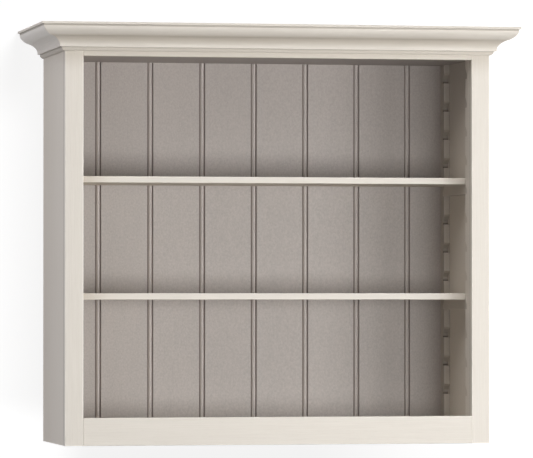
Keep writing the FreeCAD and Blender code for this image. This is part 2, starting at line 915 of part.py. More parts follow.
os.makedirs("parts", exist_ok=True)
for piece in pieces:
    piece.Shape.exportStep(f"parts/{piece.Label}.step")
print(len(pieces), "pieces")
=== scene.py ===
"""Looks of the open-front wall cabinet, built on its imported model.

Lengths are in metres in the model's own frame: X runs to the cabinet's right, Y to the wall and Z up.
"""
import math
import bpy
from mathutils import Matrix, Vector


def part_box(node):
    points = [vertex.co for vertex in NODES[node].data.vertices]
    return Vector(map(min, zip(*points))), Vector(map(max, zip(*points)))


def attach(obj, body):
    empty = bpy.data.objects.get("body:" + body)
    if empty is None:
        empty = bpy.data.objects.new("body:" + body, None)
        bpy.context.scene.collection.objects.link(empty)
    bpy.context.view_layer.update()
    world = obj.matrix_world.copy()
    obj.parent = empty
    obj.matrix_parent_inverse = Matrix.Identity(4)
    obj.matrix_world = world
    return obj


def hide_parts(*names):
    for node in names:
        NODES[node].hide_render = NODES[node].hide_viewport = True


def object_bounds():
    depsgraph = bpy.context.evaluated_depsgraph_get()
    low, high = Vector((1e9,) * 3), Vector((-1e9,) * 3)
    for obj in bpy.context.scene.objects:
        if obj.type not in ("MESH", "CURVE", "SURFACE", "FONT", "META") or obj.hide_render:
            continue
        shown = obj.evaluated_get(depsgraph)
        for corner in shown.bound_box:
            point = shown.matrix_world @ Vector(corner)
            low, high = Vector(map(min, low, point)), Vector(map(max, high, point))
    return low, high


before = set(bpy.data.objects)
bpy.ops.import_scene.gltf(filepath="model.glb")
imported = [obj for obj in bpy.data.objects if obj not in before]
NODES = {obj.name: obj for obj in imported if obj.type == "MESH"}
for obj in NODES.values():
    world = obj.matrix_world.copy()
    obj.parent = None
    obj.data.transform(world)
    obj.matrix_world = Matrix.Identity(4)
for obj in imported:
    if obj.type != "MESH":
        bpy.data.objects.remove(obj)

from types import SimpleNamespace as Recipe

import bpy
import numpy as np
from mathutils import Vector

CAD_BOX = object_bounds()
MM = 0.001

# Planes of the cabinet, read from its nodes
BODY_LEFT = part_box("left_side")[0].x
BODY_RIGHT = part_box("right_side")[1].x
BODY_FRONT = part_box("left_stile")[0].y
WALL_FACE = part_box("left_side")[1].y
FRAME_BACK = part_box("left_stile")[1].y
OPENING_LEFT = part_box("left_stile")[1].x
OPENING_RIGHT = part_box("right_stile")[0].x
INNER_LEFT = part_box("left_side")[1].x
INNER_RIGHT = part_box("right_side")[0].x
BOARD_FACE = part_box("back_board_1")[0].y
BOARD_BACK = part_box("back_board_1")[1].y
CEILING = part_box("top_board")[0].z
WELL_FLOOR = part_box("top_board")[1].z
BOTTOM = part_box("bottom_board")[0].z
REAR_BATTEN_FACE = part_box("right_rear_batten")[0].y
CORNICE_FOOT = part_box("cornice_front")[0].z
CORNICE_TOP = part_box("cornice_front")[1].z
CORNICE_REACH = BODY_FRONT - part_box("cornice_front")[0].y
MIDDLE = (CAD_BOX[0] + CAD_BOX[1]) / 2

# Height of one notch's ledge, and the step from notch to notch: the cleats lie four notches apart
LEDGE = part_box("right_lower_cleat")[0].z
NOTCHES_APART = 4
NOTCH_PITCH = (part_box("right_upper_cleat")[0].z - LEDGE) / NOTCHES_APART

# Pieces by their work, and the axis of their grain
STILES = ["left_stile", "right_stile"]
SIDES = ["left_side", "right_side"]
RAILS = ["top_rail", "bottom_rail"]
BATTENS = [f"{side}_{end}_batten" for side in ("left", "right") for end in ("front", "rear")]
SHELVES = ["bottom_board", "lower_shelf", "upper_shelf"]
CLEATS = [f"{side}_{level}_cleat" for side in ("left", "right") for level in ("lower", "upper")]
CREAM_GRAIN = [("Z", STILES + SIDES + BATTENS), ("X", RAILS + SHELVES), ("Y", CLEATS)]
BACK_GRAIN = {name: "Z" for name in sorted(NODES) if name.startswith("back_board_")}
CEILING_GRAIN = {"top_board": "X"}
BARE_GRAIN = {"hanging_rail": "X", "lower_back_rail": "X", "top_glue_blocks": "X", "bottom_glue_blocks": "X",
              "frame_dowels": "Y", "rail_dowels": "X"}
STEEL_GRAIN = {"left_hanger_plate": "Z", "right_hanger_plate": "Z", "hanger_screws": "Y",
               "cornice_screws": "Z", "back_brads": "Y"}

# Patterns move from piece to piece, by this step and by these parts of it along X, Y and Z
SHIFT_STEP = 0.83
SHIFT_PARTS = 1, 0.7, 1.3

# A Mix node's sockets for colours, by number because those of its other kinds have the same names
MIX_FACTOR, MIX_FIRST, MIX_SECOND, MIX_RESULT = 0, 6, 7, 2


# Shader nodes
class Value:
    """A node's output. Arithmetic on it adds Math nodes to its tree."""

    def __init__(self, finish, socket):
        self.finish = finish
        self.socket = socket

    def math(self, operation, first, second):
        settings = {"operation": operation}
        return self.finish.node("ShaderNodeMath", settings, {0: first, 1: second})

    def __add__(self, other):
        return self.math("ADD", self, other)

    __radd__ = __add__

    def __sub__(self, other):
        return self.math("SUBTRACT", self, other)

    def __rsub__(self, other):
        return self.math("SUBTRACT", other, self)

    def __mul__(self, other):
        return self.math("MULTIPLY", self, other)

    __rmul__ = __mul__

    def __mod__(self, other):
        return self.math("FLOORED_MODULO", self, other)

    def least(self, other):
        return self.math("MINIMUM", self, other)

    def most(self, other):
        return self.math("MAXIMUM", self, other)

    def rise(self, start, end):
        """0 up to start, 1 from end on, and a smooth step between."""
        sockets = {"Value": self, "From Min": start, "From Max": end}
        return self.finish.node("ShaderNodeMapRange", {"interpolation_type": "SMOOTHSTEP"}, sockets)


class Finish:
    """The node tree of one material, or of the world."""

    def __init__(self, owner):
        owner.use_nodes = True
        self.tree = owner.node_tree
        self.tree.nodes.clear()

    def node(self, kind, settings, sockets, output=0):
        """Add a node of this kind: its settings first, then its sockets' values and links."""
        node = self.tree.nodes.new(kind)
        for name, setting in settings.items():
            setattr(node, name, setting)
        for name, value in sockets.items():
            if isinstance(value, Value):
                self.tree.links.new(value.socket, node.inputs[name])
            else:
                node.inputs[name].default_value = value
        return Value(self, node.outputs[output]) if node.outputs else None

    def mix(self, factor, first, second):
        """A colour between two colours."""
        sockets = {MIX_FACTOR: factor, MIX_FIRST: opaque(first), MIX_SECOND: opaque(second)}
        return self.node("ShaderNodeMix", {"data_type": "RGBA"}, sockets, MIX_RESULT)

    def place(self):
        return self.node("ShaderNodeTexCoord", {}, {}, "Object")

    def axes(self):
        """X, Y and Z of the point that is shaded, in the cabinet's frame."""
        split = self.node("ShaderNodeSeparateXYZ", {}, {0: self.place()})
        return [Value(self, socket) for socket in split.socket.node.outputs]

    def mark(self, name):
        """An amount that a piece's points carry."""
        return self.node("ShaderNodeAttribute", {"attribute_name": name}, {}, "Fac")

    def along(self, axis, stretch, shift):
        """The point, with lengths along the grain divided by stretch, which draws a pattern out along it."""
        scale = [1, 1, 1]
        scale["XYZ".index(axis)] = 1 / stretch
        location = [shift * part for part in SHIFT_PARTS]
        sockets = {"Vector": self.place(), "Scale": scale, "Location": location}
        return self.node("ShaderNodeMapping", {}, sockets)

    def noise(self, vector, size, detail=2, rough=0.5):
        """Cloudy noise whose lumps are about this size across, from 0 to 1."""
        sockets = {"Vector": vector, "Scale": 1 / size, "Detail": detail, "Roughness": rough}
        return self.node("ShaderNodeTexNoise", {}, sockets)

    def grain(self, axis, shift, stretch, offset=0, **lumps):
        """Noise that is drawn out along the grain."""
        return self.noise(self.along(axis, stretch, shift + offset), **lumps)

    def bump(self, height, depth):
        """A surface that rises by depth where height goes from 0 to 1."""
        return self.node("ShaderNodeBump", {}, {"Strength": 1, "Distance": depth, "Height": height})

    def surface(self, colour, roughness, normal, **uniform):
        sockets = {"Base Color": colour, "Roughness": roughness, "Normal": normal, **uniform}
        self.show(self.node("ShaderNodeBsdfPrincipled", {}, sockets))

    def show(self, shader, kind="ShaderNodeOutputMaterial"):
        self.node(kind, {}, {"Surface": shader})


def opaque(colour):
    """A colour with full alpha. A node's output stays as it is."""
    return colour if isinstance(colour, Value) else (*colour, 1)


def fresh(name):
    """A new material, and its node tree."""
    material = bpy.data.materials.new(name)
    return material, Finish(material)


def next_shift():
    """A shift of the patterns that no other material has."""
    return SHIFT_STEP * len(bpy.data.materials)


def put_on(item, material):
    item.data.materials.clear()
    item.data.materials.append(material)


# Patterns of the finishes
NOISE_MEAN = 0.5
RIDGES = dict(stretch=45, size=1.6 * MM, detail=3, rough=0.6)
PORES = dict(stretch=14, offset=3, size=0.9 * MM, rough=0.6)
PORE_EDGE = 0.60, 0.72
CLOUDS = dict(stretch=3, offset=5, size=60 * MM, detail=3)
STIPPLE = dict(stretch=1.3, size=3.4 * MM, detail=3, rough=0.65)
RING_STRETCH = 16
RING_BEND = dict(size=45 * MM)
RING_WAVE = {"Scale": 18, "Distortion": 9, "Detail": 2, "Detail Scale": 1.2}
STREAKS = dict(stretch=60, size=1.2 * MM, detail=3, rough=0.6)
PLANED = dict(stretch=40, offset=2, size=1.1 * MM, detail=3, rough=0.6)
CRYSTAL_STRETCH = 1.5
CRYSTAL_SIZE = 2.2 * MM
DRAWN_LINES = dict(stretch=60, size=0.4 * MM)
DULLING = dict(stretch=1, size=9 * MM, detail=3)

# Recipes of the finishes: colours, then the weight of each pattern in tone, roughness and height
# Of cream's colours, the one paler than the paint is a painted highlight. The three dark ones are painted
# shade, brought in over the two ranges that follow them, with the roughness that goes with shade.
CREAM = Recipe(
    deep=(0.725, 0.670, 0.595), pale=(0.795, 0.742, 0.667), rubbed=(0.93, 0.885, 0.815),
    thin_dirt=(0.34, 0.265, 0.17), thick_dirt=(0.28, 0.24, 0.20), grime=(0.09, 0.076, 0.064),
    ridge_tone=1.5, cloud_tone=0.7, pore_tone=0.4, rub_cover=0.9, thickening=(0.25, 0.6), griming=(0.9, 1.0),
    roughness=0.50, cloud_roughness=0.16, pore_roughness=0.08, rub_polish=0.10, dirt_roughness=0.2,
    pore_depth=0.6, relief=0.10 * MM)
# Of taupe's colours, the one paler than the paint is a painted highlight, and the two dark ones are painted
# shade.
TAUPE = Recipe(
    deep=(0.397, 0.362, 0.339), pale=(0.505, 0.460, 0.431), rubbed=(0.62, 0.565, 0.53),
    dust=(0.235, 0.20, 0.185), smoke=(0.25, 0.195, 0.165),
    ridge_tone=0.4, stipple_tone=2.2, cloud_tone=0.6, pore_tone=0.15,
    roughness=0.56, cloud_roughness=0.12, dust_roughness=0.25,
    ridge_height=0.5, stipple_height=0.7, bare_height=0.5, relief=0.10 * MM)
PINE = Recipe(
    pale=(0.70, 0.50, 0.30), dark=(0.46, 0.27, 0.125),
    late_wood=(0.45, 0.98), ring_tone=0.6, streak_tone=0.5, bend_tone=0.5, least_tone=0.1,
    roughness=0.62, grain_roughness=0.2, ring_polish=0.08,
    grain_height=0.7, ring_height=0.3, relief=0.18 * MM)
ZINC = Recipe(
    deep=(0.47, 0.48, 0.50), pale=(0.66, 0.67, 0.69),
    crystal_tone=0.45, line_tone=0.5, dull_tone=0.5,
    roughness=0.30, dull_roughness=0.3, line_roughness=0.1,
    line_height=0.6, crystal_height=0.4, relief=0.03 * MM)


def swing(pattern, weight):
    """A pattern's swing about its mean, times a weight."""
    return (pattern - NOISE_MEAN) * weight


def brushed(finish, axis, shift):
    """Paint laid off along the grain: long fine ridges, the pores of the wood and broad clouds of tone."""
    ridges = finish.grain(axis, shift, **RIDGES)
    pores = finish.grain(axis, shift, **PORES).rise(*PORE_EDGE)
    clouds = finish.grain(axis, shift, **CLOUDS)
    return ridges, pores, clouds


def cream_paint(finish, rub, shade, axis, shift):
    """Cream eggshell, brushed along the grain, with a painted highlight on the arrises and painted shade
    where its shade mask is high.
    """
    ridges, pores, clouds = brushed(finish, axis, shift)
    tone = NOISE_MEAN + swing(ridges, CREAM.ridge_tone) + swing(clouds, CREAM.cloud_tone)
    colour = finish.mix(tone - pores * CREAM.pore_tone, CREAM.deep, CREAM.pale)
    # Paler on the arrises: a painted highlight. Darker and browner where shade is high: painted shade.
    colour = finish.mix(rub * CREAM.rub_cover, colour, CREAM.rubbed)
    shade_colour = finish.mix(shade.rise(*CREAM.thickening), CREAM.thin_dirt, CREAM.thick_dirt)
    colour = finish.mix(shade, colour, shade_colour)
    colour = finish.mix(shade.rise(*CREAM.griming), colour, CREAM.grime)
    roughness = CREAM.roughness + swing(clouds, CREAM.cloud_roughness) + pores * CREAM.pore_roughness
    roughness = roughness - rub * CREAM.rub_polish + shade * CREAM.dirt_roughness
    finish.surface(colour, roughness, finish.bump(ridges - pores * CREAM.pore_depth, CREAM.relief))


def stippled(finish, axis, shift):
    """Taupe eggshell rolled on thin: a fine stipple over the brush ridges.

    Gives its colour, its height and its roughness.
    """
    ridges, pores, clouds = brushed(finish, axis, shift)
    stipple = finish.grain(axis, shift, **STIPPLE)
    tone = NOISE_MEAN + swing(ridges, TAUPE.ridge_tone) + swing(stipple, TAUPE.stipple_tone)
    tone = tone + swing(clouds, TAUPE.cloud_tone) - pores * TAUPE.pore_tone
    height = ridges * TAUPE.ridge_height + stipple * TAUPE.stipple_height
    roughness = TAUPE.roughness + swing(clouds, TAUPE.cloud_roughness)
    return finish.mix(tone, TAUPE.deep, TAUPE.pale), height, roughness


def pine(finish, axis, shift):
    """Growth rings of a softwood board, and its colour.

    The rings are bands across the grain, bent by a slow noise and streaked by a fine one.
    """
    drawn = finish.along(axis, RING_STRETCH, shift)
    bend = finish.noise(drawn, **RING_BEND)
    streaks = finish.grain(axis, shift, **STREAKS)
    settings = {"wave_type": "RINGS", "rings_direction": axis, "wave_profile": "SAW"}
    rings = finish.node("ShaderNodeTexWave", settings, {"Vector": drawn, **RING_WAVE}, "Fac")
    late = rings.rise(*PINE.late_wood)
    tone = late * PINE.ring_tone + swing(streaks, PINE.streak_tone) + swing(bend, PINE.bend_tone)
    return late, finish.mix(tone + PINE.least_tone, PINE.pale, PINE.dark)


def half_painted(finish, colour, height, roughness, bare, axis, shift):
    """Taupe paint where bare is 0, and softwood without a finish where it is 1."""
    rings, wood = pine(finish, axis, shift)
    relief = finish.bump(height + rings * bare * TAUPE.bare_height, TAUPE.relief)
    finish.surface(finish.mix(bare, colour, wood), roughness, relief)


# Painted highlight and painted shade of the back and the ceiling: how strong they are, and where they start
# and end
BEAD_FLANK_TOP = 0.05 * MM, 0.4 * MM
BEAD_FLANK_FOOT = 2.4 * MM, 3.4 * MM
QUIRK_DEPTH = 3.1 * MM, 3.65 * MM
BACK_TOP_SHADE = 0.22
BACK_TOP_REACH = 330 * MM
BACK_CORNER_SHADE = 0.51
BACK_CORNER_REACH = 55 * MM
CEILING_SHADE = 0.48

# Where the paint stops: short of a bare face, above the ceiling and at the foot
PAINT_EDGE = 0.6 * MM, 0.2 * MM
BARE_TOP = 1 * MM, 3 * MM
BARE_FOOT = 2 * MM


def taupe_board(finish, axis, shift):
    """A board of the back: taupe in front, and bare wood behind and at the hidden ends.

    The flanks of its bead are paler, a painted highlight; the quirks beside it are darker, painted shade; and
    painted shade darkens the back towards the ceiling and the corners.
    """
    colour, height, roughness = stippled(finish, axis, shift)
    x, y, z = finish.axes()
    depth = y - BOARD_FACE
    # Paler bead flanks: a painted highlight. Darker deep in the quirks, towards the ceiling and at the
    # corners: painted shade.
    flank_highlight = depth.rise(*BEAD_FLANK_TOP) * (1 - depth.rise(*BEAD_FLANK_FOOT))
    dust = depth.rise(*QUIRK_DEPTH)
    corner = 1 - (x - INNER_LEFT).least(INNER_RIGHT - x).rise(0, BACK_CORNER_REACH)
    top = z.rise(CEILING - BACK_TOP_REACH, CEILING)
    smoke = (top * BACK_TOP_SHADE).most(corner * BACK_CORNER_SHADE)
    colour = finish.mix(smoke, colour, TAUPE.smoke)
    colour = finish.mix(flank_highlight, colour, TAUPE.rubbed)
    colour = finish.mix(dust, colour, TAUPE.dust)
    behind = depth.rise(*(BOARD_BACK - BOARD_FACE - edge for edge in PAINT_EDGE))
    above = z.rise(*(CEILING + edge for edge in BARE_TOP))
    bare = behind.most(above).most(1 - z.rise(BOTTOM, BOTTOM + BARE_FOOT))
    half_painted(finish, colour, height, roughness + dust * TAUPE.dust_roughness, bare, axis, shift)


def taupe_ceiling(finish, axis, shift):
    """The top board: taupe darkened by painted shade where it shows, as the ceiling, and bare wood above."""
    colour, height, roughness = stippled(finish, axis, shift)
    # Darker all over: painted shade under the ceiling.
    colour = finish.mix(CEILING_SHADE, colour, TAUPE.dust)
    bare = finish.axes()[2].rise(*(WELL_FLOOR - edge for edge in PAINT_EDGE))
    half_painted(finish, colour, height, roughness, bare, axis, shift)


def bare_wood(finish, axis, shift):
    """Planed softwood without a finish."""
    rings, colour = pine(finish, axis, shift)
    planed = finish.grain(axis, shift, **PLANED)
    roughness = PINE.roughness + swing(planed, PINE.grain_roughness) - rings * PINE.ring_polish
    height = planed * PINE.grain_height + rings * PINE.ring_height
    finish.surface(colour, roughness, finish.bump(height, PINE.relief))


def zinc_steel(finish, axis, shift):
    """Bright zinc plate: small crystals, drawing lines along the metal and a little dulling."""
    sockets = {"Vector": finish.along(axis, CRYSTAL_STRETCH, shift), "Scale": 1 / CRYSTAL_SIZE}
    crystals = finish.node("ShaderNodeTexVoronoi", {"feature": "F1"}, sockets)
    lines = finish.grain(axis, shift, **DRAWN_LINES)
    dull = finish.grain(axis, shift, **DULLING)
    tone = crystals * ZINC.crystal_tone + swing(lines, ZINC.line_tone) + dull * ZINC.dull_tone
    colour = finish.mix(tone, ZINC.deep, ZINC.pale)
    roughness = ZINC.roughness + swing(dull, ZINC.dull_roughness) + swing(lines, ZINC.line_roughness)
    height = lines * ZINC.line_height + crystals * ZINC.crystal_height
    finish.surface(colour, roughness, finish.bump(height, ZINC.relief), Metallic=1.0)


# Painted highlight, dark joints and painted shade of the cream pieces: how strong they are, and how far they
# reach
EDGE_HIGHLIGHT = 2.8 * MM
FAR = 1.0
LINE_CORE = 0.25
RAIL_JOINT = 0.08
RAIL_JOINT_WIDTH = 2.0 * MM
SIDE_JOINT = 0.9
SIDE_JOINT_WIDTH = 3.0 * MM
CORNICE_SHADE = 0.25
CORNICE_SHADE_REACH = 50 * MM
OUTER_SHADE = 0.11
OUTER_WALL_SHADE = 0.14
UNDER_SHADE = 0.34
UNDERSIDE = 0.4 * MM, 1.4 * MM
END_SHADE = 0.30
END_REACH = 120 * MM
CLEAT_SHADE = 0.50
INNER_FACE = 1 * MM, 2 * MM
INNER_SHADE = 0.28
INNER_REAR_SHADE = 0.10
INNER_TOP_SHADE = 0.26
INNER_TOP_REACH = 220 * MM
BATTEN_LINE = 0.75
BATTEN_LINE_WIDTH = 5 * MM
BATTEN_SHADE = 0.07
REAR_SHADE = 0.50
REAR_FLANK_SHADE = 0.20
FLANK_TURN = 0.3, 0.7
NOTCH_SHADE = 0.70
NOTCH_DEPTH = 0.5 * MM, 6 * MM
LEDGE_SHADE = 0.27
LEDGE_START = 1 * MM
LEDGE_FADE = 2 * MM, 9 * MM


def arris_box(name):
    """The box whose edges get a painted highlight: a joint's edge is none, so the box reaches far beyond it.
    """
    low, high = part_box(name)
    if name in STILES:
        high.y = FAR
    elif name in SIDES:
        low.y = -FAR
    elif name in RAILS:
        low.x, high.x, high.y = -FAR, FAR, FAR
    return low, high


def arris(finish, low, high, width):
    """1 at the edges of a board and 0 further from them than width.

    On a board's face the nearest of the three pairs of sides is the face itself, so the middle one of the
    three distances is the distance to the nearest edge. It is the sum less the largest and the smallest.
    """
    x, y, z = finish.axes()
    from_x = (x - low.x).least(high.x - x)
    from_y = (y - low.y).least(high.y - y)
    from_z = (z - low.z).least(high.z - z)
    largest = from_x.most(from_y).most(from_z)
    smallest = from_x.least(from_y).least(from_z)
    return 1 - (from_x + from_y + from_z - largest - smallest).rise(0, width)


def hairline(place, line, width):
    """1 on a joint's line and 0 further from it than width."""
    gap = (place - line).most(line - place)
    return 1 - gap.rise(LINE_CORE * width, width)


def seams(finish, name):
    """Where a piece of the body is darker outside: the dark joints in its paint, and painted shade under the
    cornice.

    A side has painted shade all over, more towards the wall.
    """
    x, y, z = finish.axes()
    under = z.rise(CORNICE_FOOT - CORNICE_SHADE_REACH, CORNICE_FOOT) * CORNICE_SHADE
    if name in RAILS:
        left = hairline(x, OPENING_LEFT, RAIL_JOINT_WIDTH)
        joint = left.most(hairline(x, OPENING_RIGHT, RAIL_JOINT_WIDTH)) * RAIL_JOINT
    else:
        joint = hairline(y, FRAME_BACK, SIDE_JOINT_WIDTH) * SIDE_JOINT
    if name in SIDES:
        under = under.most(y.rise(FRAME_BACK, WALL_FACE) * OUTER_WALL_SHADE + OUTER_SHADE)
    return joint.most(under)


def inner_shade(finish, name):
    """Painted shade inside a side: all over, more towards ceiling and back; most on the dark joint line at
    its rear batten.
    """
    low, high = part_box(name)
    x, y, z = finish.axes()
    outside = (high.x - x if name == "left_side" else x - low.x).rise(*INNER_FACE)
    general = z.rise(CEILING - INNER_TOP_REACH, CEILING) * INNER_TOP_SHADE + INNER_SHADE
    general = general + y.rise(FRAME_BACK, BOARD_FACE) * INNER_REAR_SHADE
    line = hairline(y, REAR_BATTEN_FACE, BATTEN_LINE_WIDTH) * BATTEN_LINE
    return (1 - outside) * general.most(line)


def notch_shade(finish, name):
    """Painted shade on a batten: inside its notches, most on their ledges, and a little all over.

    A rear batten has more painted shade all over, most on its flanks.
    """
    low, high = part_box(name)
    _, y, z = finish.axes()
    facing = finish.node("ShaderNodeNewGeometry", {}, {}, "True Normal")
    sideways = finish.node("ShaderNodeSeparateXYZ", {}, {0: facing}, "X")
    flank = sideways.most(0 - sideways).rise(*FLANK_TURN)
    above_ledge = (z - LEDGE + LEDGE_START) % NOTCH_PITCH
    dust = NOTCH_SHADE + (1 - above_ledge.rise(*LEDGE_FADE)) * LEDGE_SHADE
    depth, shade = high.y - y, BATTEN_SHADE
    if "rear" in name:
        depth, shade = y - low.y, flank * REAR_FLANK_SHADE + REAR_SHADE
    return (depth.rise(*NOTCH_DEPTH) * (1 - flank) * dust).most(shade)


def under_shade(finish, name):
    """Painted shade on a shelf or cleat: on its underside, a shelf at its ends too, and a cleat all over."""
    low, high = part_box(name)
    x, _, z = finish.axes()
    shade = (1 - (z - low.z).rise(*UNDERSIDE)) * UNDER_SHADE
    if name in CLEATS:
        return shade.most(CLEAT_SHADE)
    ends = 1 - (x - low.x).least(high.x - x).rise(0, END_REACH)
    return shade.most(ends * END_SHADE)


def cream_shade(finish, name):
    """Painted shade on a cream piece, by its work."""
    if name in SIDES:
        return seams(finish, name).most(inner_shade(finish, name))
    if name in STILES + RAILS:
        return seams(finish, name)
    return notch_shade(finish, name) if name in BATTENS else under_shade(finish, name)


for axis, names in CREAM_GRAIN:
    for name in names:
        material, finish = fresh(name + "_cream")
        # Each piece's arrises get a painted highlight, and its shade mask painted shade.
        rub = arris(finish, *arris_box(name), EDGE_HIGHLIGHT)
        cream_paint(finish, rub, cream_shade(finish, name), axis, next_shift())
        put_on(NODES[name], material)
for look, label, grain in ((taupe_board, "_taupe", BACK_GRAIN), (taupe_ceiling, "_taupe", CEILING_GRAIN),
                           (bare_wood, "_pine", BARE_GRAIN), (zinc_steel, "_zinc", STEEL_GRAIN)):
    for name, axis in grain.items():
        material, finish = fresh(name + label)
        look(finish, axis, next_shift())
        put_on(NODES[name], material)


# Section of the cornice
FILLET_HEIGHT = 4.8 * MM
FILLET_STEP = 4.5 * MM
QUIRK_HEIGHT = 3.2 * MM
OGEE_RADIUS = 20 * MM
OGEE_SLACK = 1.6
OGEE_POINTS = 30
BEAD_RADIUS = 8 * MM
BEAD_HEIGHT = 9 * MM
BEAD_POINTS = 14
ARRIS_EASE = 0.7 * MM
MOST_EASE = 0.45
EASE_POINTS = 5
SHARP_TURN = math.radians(30)

# Painted shade and painted highlight of the cornice
BEAD_SHADE = 0.08
BEAD_SHADE_POWER = 4
RETURN_BEAD_SHADE = 0.35
HOLLOW_SHADE = 0.43
FILLET_SHADE = 0.04
CORNER_SHADE = 0.55
ROUND_HIGHLIGHT = 0.65


def quarter(count):
    """Angles of a quarter turn."""
    return np.linspace(0, math.pi / 2, count)


def cornice_section(least_bead_shade, hollow_shade, round_highlight):
    """The moulding's outline, as reach from the body and height above its foot, with its painted shade and
    its painted highlight.

    From the foot: a quarter circle for the bead, a step, a quarter turn hollowed in and one rounded out of
    the same radius, which make the ogee, a quirk, and a fillet whose top is the cornice's top. The ogee's
    reach goes with the cosine of the turn to a power over 1, so that it is slacker than a circle where the
    two turns meet. The painted shade is thickest under the step and in the quirk, and on the bead it goes
    with a power of the turn. In the hollow it goes with the sine of its turn, and on the round with the
    square of what the sine lacks of 1. The painted highlight on the round goes with the square of the sine.
    """
    height = CORNICE_TOP - CORNICE_FOOT
    round_reach = CORNICE_REACH - FILLET_STEP
    round_top = height - FILLET_HEIGHT - QUIRK_HEIGHT
    centre = round_reach - OGEE_RADIUS
    hollow_foot = round_top - 2 * OGEE_RADIUS
    bead, swell = quarter(BEAD_POINTS), quarter(OGEE_POINTS)
    bead_round = np.stack([BEAD_RADIUS * np.sin(bead), BEAD_RADIUS * (1 - np.cos(bead))], 1)
    across, up = OGEE_RADIUS * np.cos(swell) ** OGEE_SLACK, OGEE_RADIUS * np.sin(swell)
    hollow = np.stack([centre - across, hollow_foot + up], 1)
    swelled = np.stack([centre + across[::-1], round_top - up[::-1]], 1)
    step = [(BEAD_RADIUS, BEAD_HEIGHT), (centre - OGEE_RADIUS, BEAD_HEIGHT)]
    fillet = [(round_reach, height - FILLET_HEIGHT), (CORNICE_REACH, height - FILLET_HEIGHT),
              (CORNICE_REACH, height), (0, height)]
    share = (bead / bead[-1]) ** BEAD_SHADE_POWER
    bead_shade = least_bead_shade + (CORNER_SHADE - least_bead_shade) * share
    ogee_shade = hollow_shade * np.concatenate([np.sin(swell), (1 - np.sin(swell[1:])) ** 2])
    ogee_shade[-1] = CORNER_SHADE
    dust = [bead_shade, [CORNER_SHADE, 0], ogee_shade, [CORNER_SHADE, FILLET_SHADE, FILLET_SHADE, 0]]
    rub = [bead * 0, [0, 0], swell * 0, round_highlight * np.sin(swell[1:]) ** 2, [0, 0, 0, 0]]
    outline = np.concatenate([bead_round, step, hollow, swelled[1:], fillet])
    return outline, np.concatenate(dust), np.concatenate(rub)


def eased(outline, dust, rub):
    """The outline with each sharp corner replaced by a parabola, with how much painted highlight and painted
    shade each point carries.

    A parabola starts and ends at a set distance from its corner and has the corner as its control point. A
    corner that stands out gets a painted highlight, most at its middle.
    """
    before = np.roll(outline, 1, 0) - outline
    after = np.roll(outline, -1, 0) - outline
    near, far = np.linalg.norm(before, axis=1), np.linalg.norm(after, axis=1)
    cosine = -(before * after).sum(1) / (near * far)
    sharp = (np.arccos(np.clip(cosine, -1, 1)) > SHARP_TURN) & (outline[:, 0] > 0)
    inward = before[:, 0] * after[:, 1] - before[:, 1] * after[:, 0] > 0
    start = outline + before * np.minimum(ARRIS_EASE / near, MOST_EASE)[:, None]
    end = outline + after * np.minimum(ARRIS_EASE / far, MOST_EASE)[:, None]
    t = np.linspace(0, 1, EASE_POINTS)[:, None, None]
    curve = (1 - t) ** 2 * start + 2 * t * (1 - t) * outline + t ** 2 * end
    bow = np.sin(np.linspace(0, math.pi, EASE_POINTS))
    points = np.where(sharp[:, None], curve, outline).transpose(1, 0, 2)
    keep = np.ones(points.shape[:2], bool)
    keep[~sharp, 1:] = False
    # Corners that stand out get a painted highlight.
    rub = np.where((sharp & ~inward)[:, None], bow, rub[:, None])
    dust = np.repeat(dust[:, None], EASE_POINTS, 1)
    return points[keep], rub[keep], dust[keep]


def moulding(name, low_ends, high_ends, marks):
    """A section carried along a straight run, with marks on its points.

    Each point of the section goes in a line from its place on one end to its place on the other, so that the
    ends may be mitred, and both ends are closed.
    """
    count = len(low_ends)
    points = np.concatenate([low_ends, high_ends])
    first = np.arange(count)
    following = np.roll(first, -1)
    strip = np.stack([first, first + count, following + count, following], 1)
    faces = strip.tolist() + [first.tolist(), (first + count)[::-1].tolist()]
    mesh = bpy.data.meshes.new(name)
    mesh.from_pydata(points.tolist(), [], faces)
    for mark, amount in marks.items():
        values = np.tile(amount, 2).astype(np.float32)
        mesh.attributes.new(mark, "FLOAT", "POINT").data.foreach_set("value", values)
    mesh.shade_smooth()
    mesh.set_sharp_from_angle(angle=SHARP_TURN)
    item = bpy.data.objects.new(name, mesh)
    bpy.context.scene.collection.objects.link(item)
    return item


def cornice(end):
    """One length of cornice. At reach r and height h its line lies r out from the body and h above its foot.

    The front runs from the left mitre to the right one. A return runs between its mitre and the wall.
    """
    # The front gets painted shade on its bead, hollow and quirks; a return gets painted shade on its bead and
    # quirks, and a painted highlight on its round.
    painted_light = (BEAD_SHADE, HOLLOW_SHADE, 0) if end == "front" else (RETURN_BEAD_SHADE, 0, ROUND_HIGHLIGHT)
    section, rub, dust = eased(*cornice_section(*painted_light))
    reach, height = section.T
    z = CORNICE_FOOT + height
    left, right, front = BODY_LEFT - reach, BODY_RIGHT + reach, BODY_FRONT - reach
    wall = np.full_like(reach, WALL_FACE)
    ends = {"front": ((left, front, z), (right, front, z)),
            "left": ((left, wall, z), (left, front, z)),
            "right": ((right, front, z), (right, wall, z))}
    low_ends, high_ends = (np.stack(place, 1) for place in ends[end])
    piece = moulding(f"run_cornice_{end}", low_ends, high_ends, {"rub": rub, "dust": dust})
    material, finish = fresh(f"cornice_{end}_cream")
    axis = "X" if end == "front" else "Y"
    cream_paint(finish, finish.mark("rub"), finish.mark("dust"), axis, next_shift())
    put_on(piece, material)
    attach(piece, "carcass")
    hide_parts(f"cornice_{end}")


for end in ("front", "left", "right"):
    cornice(end)


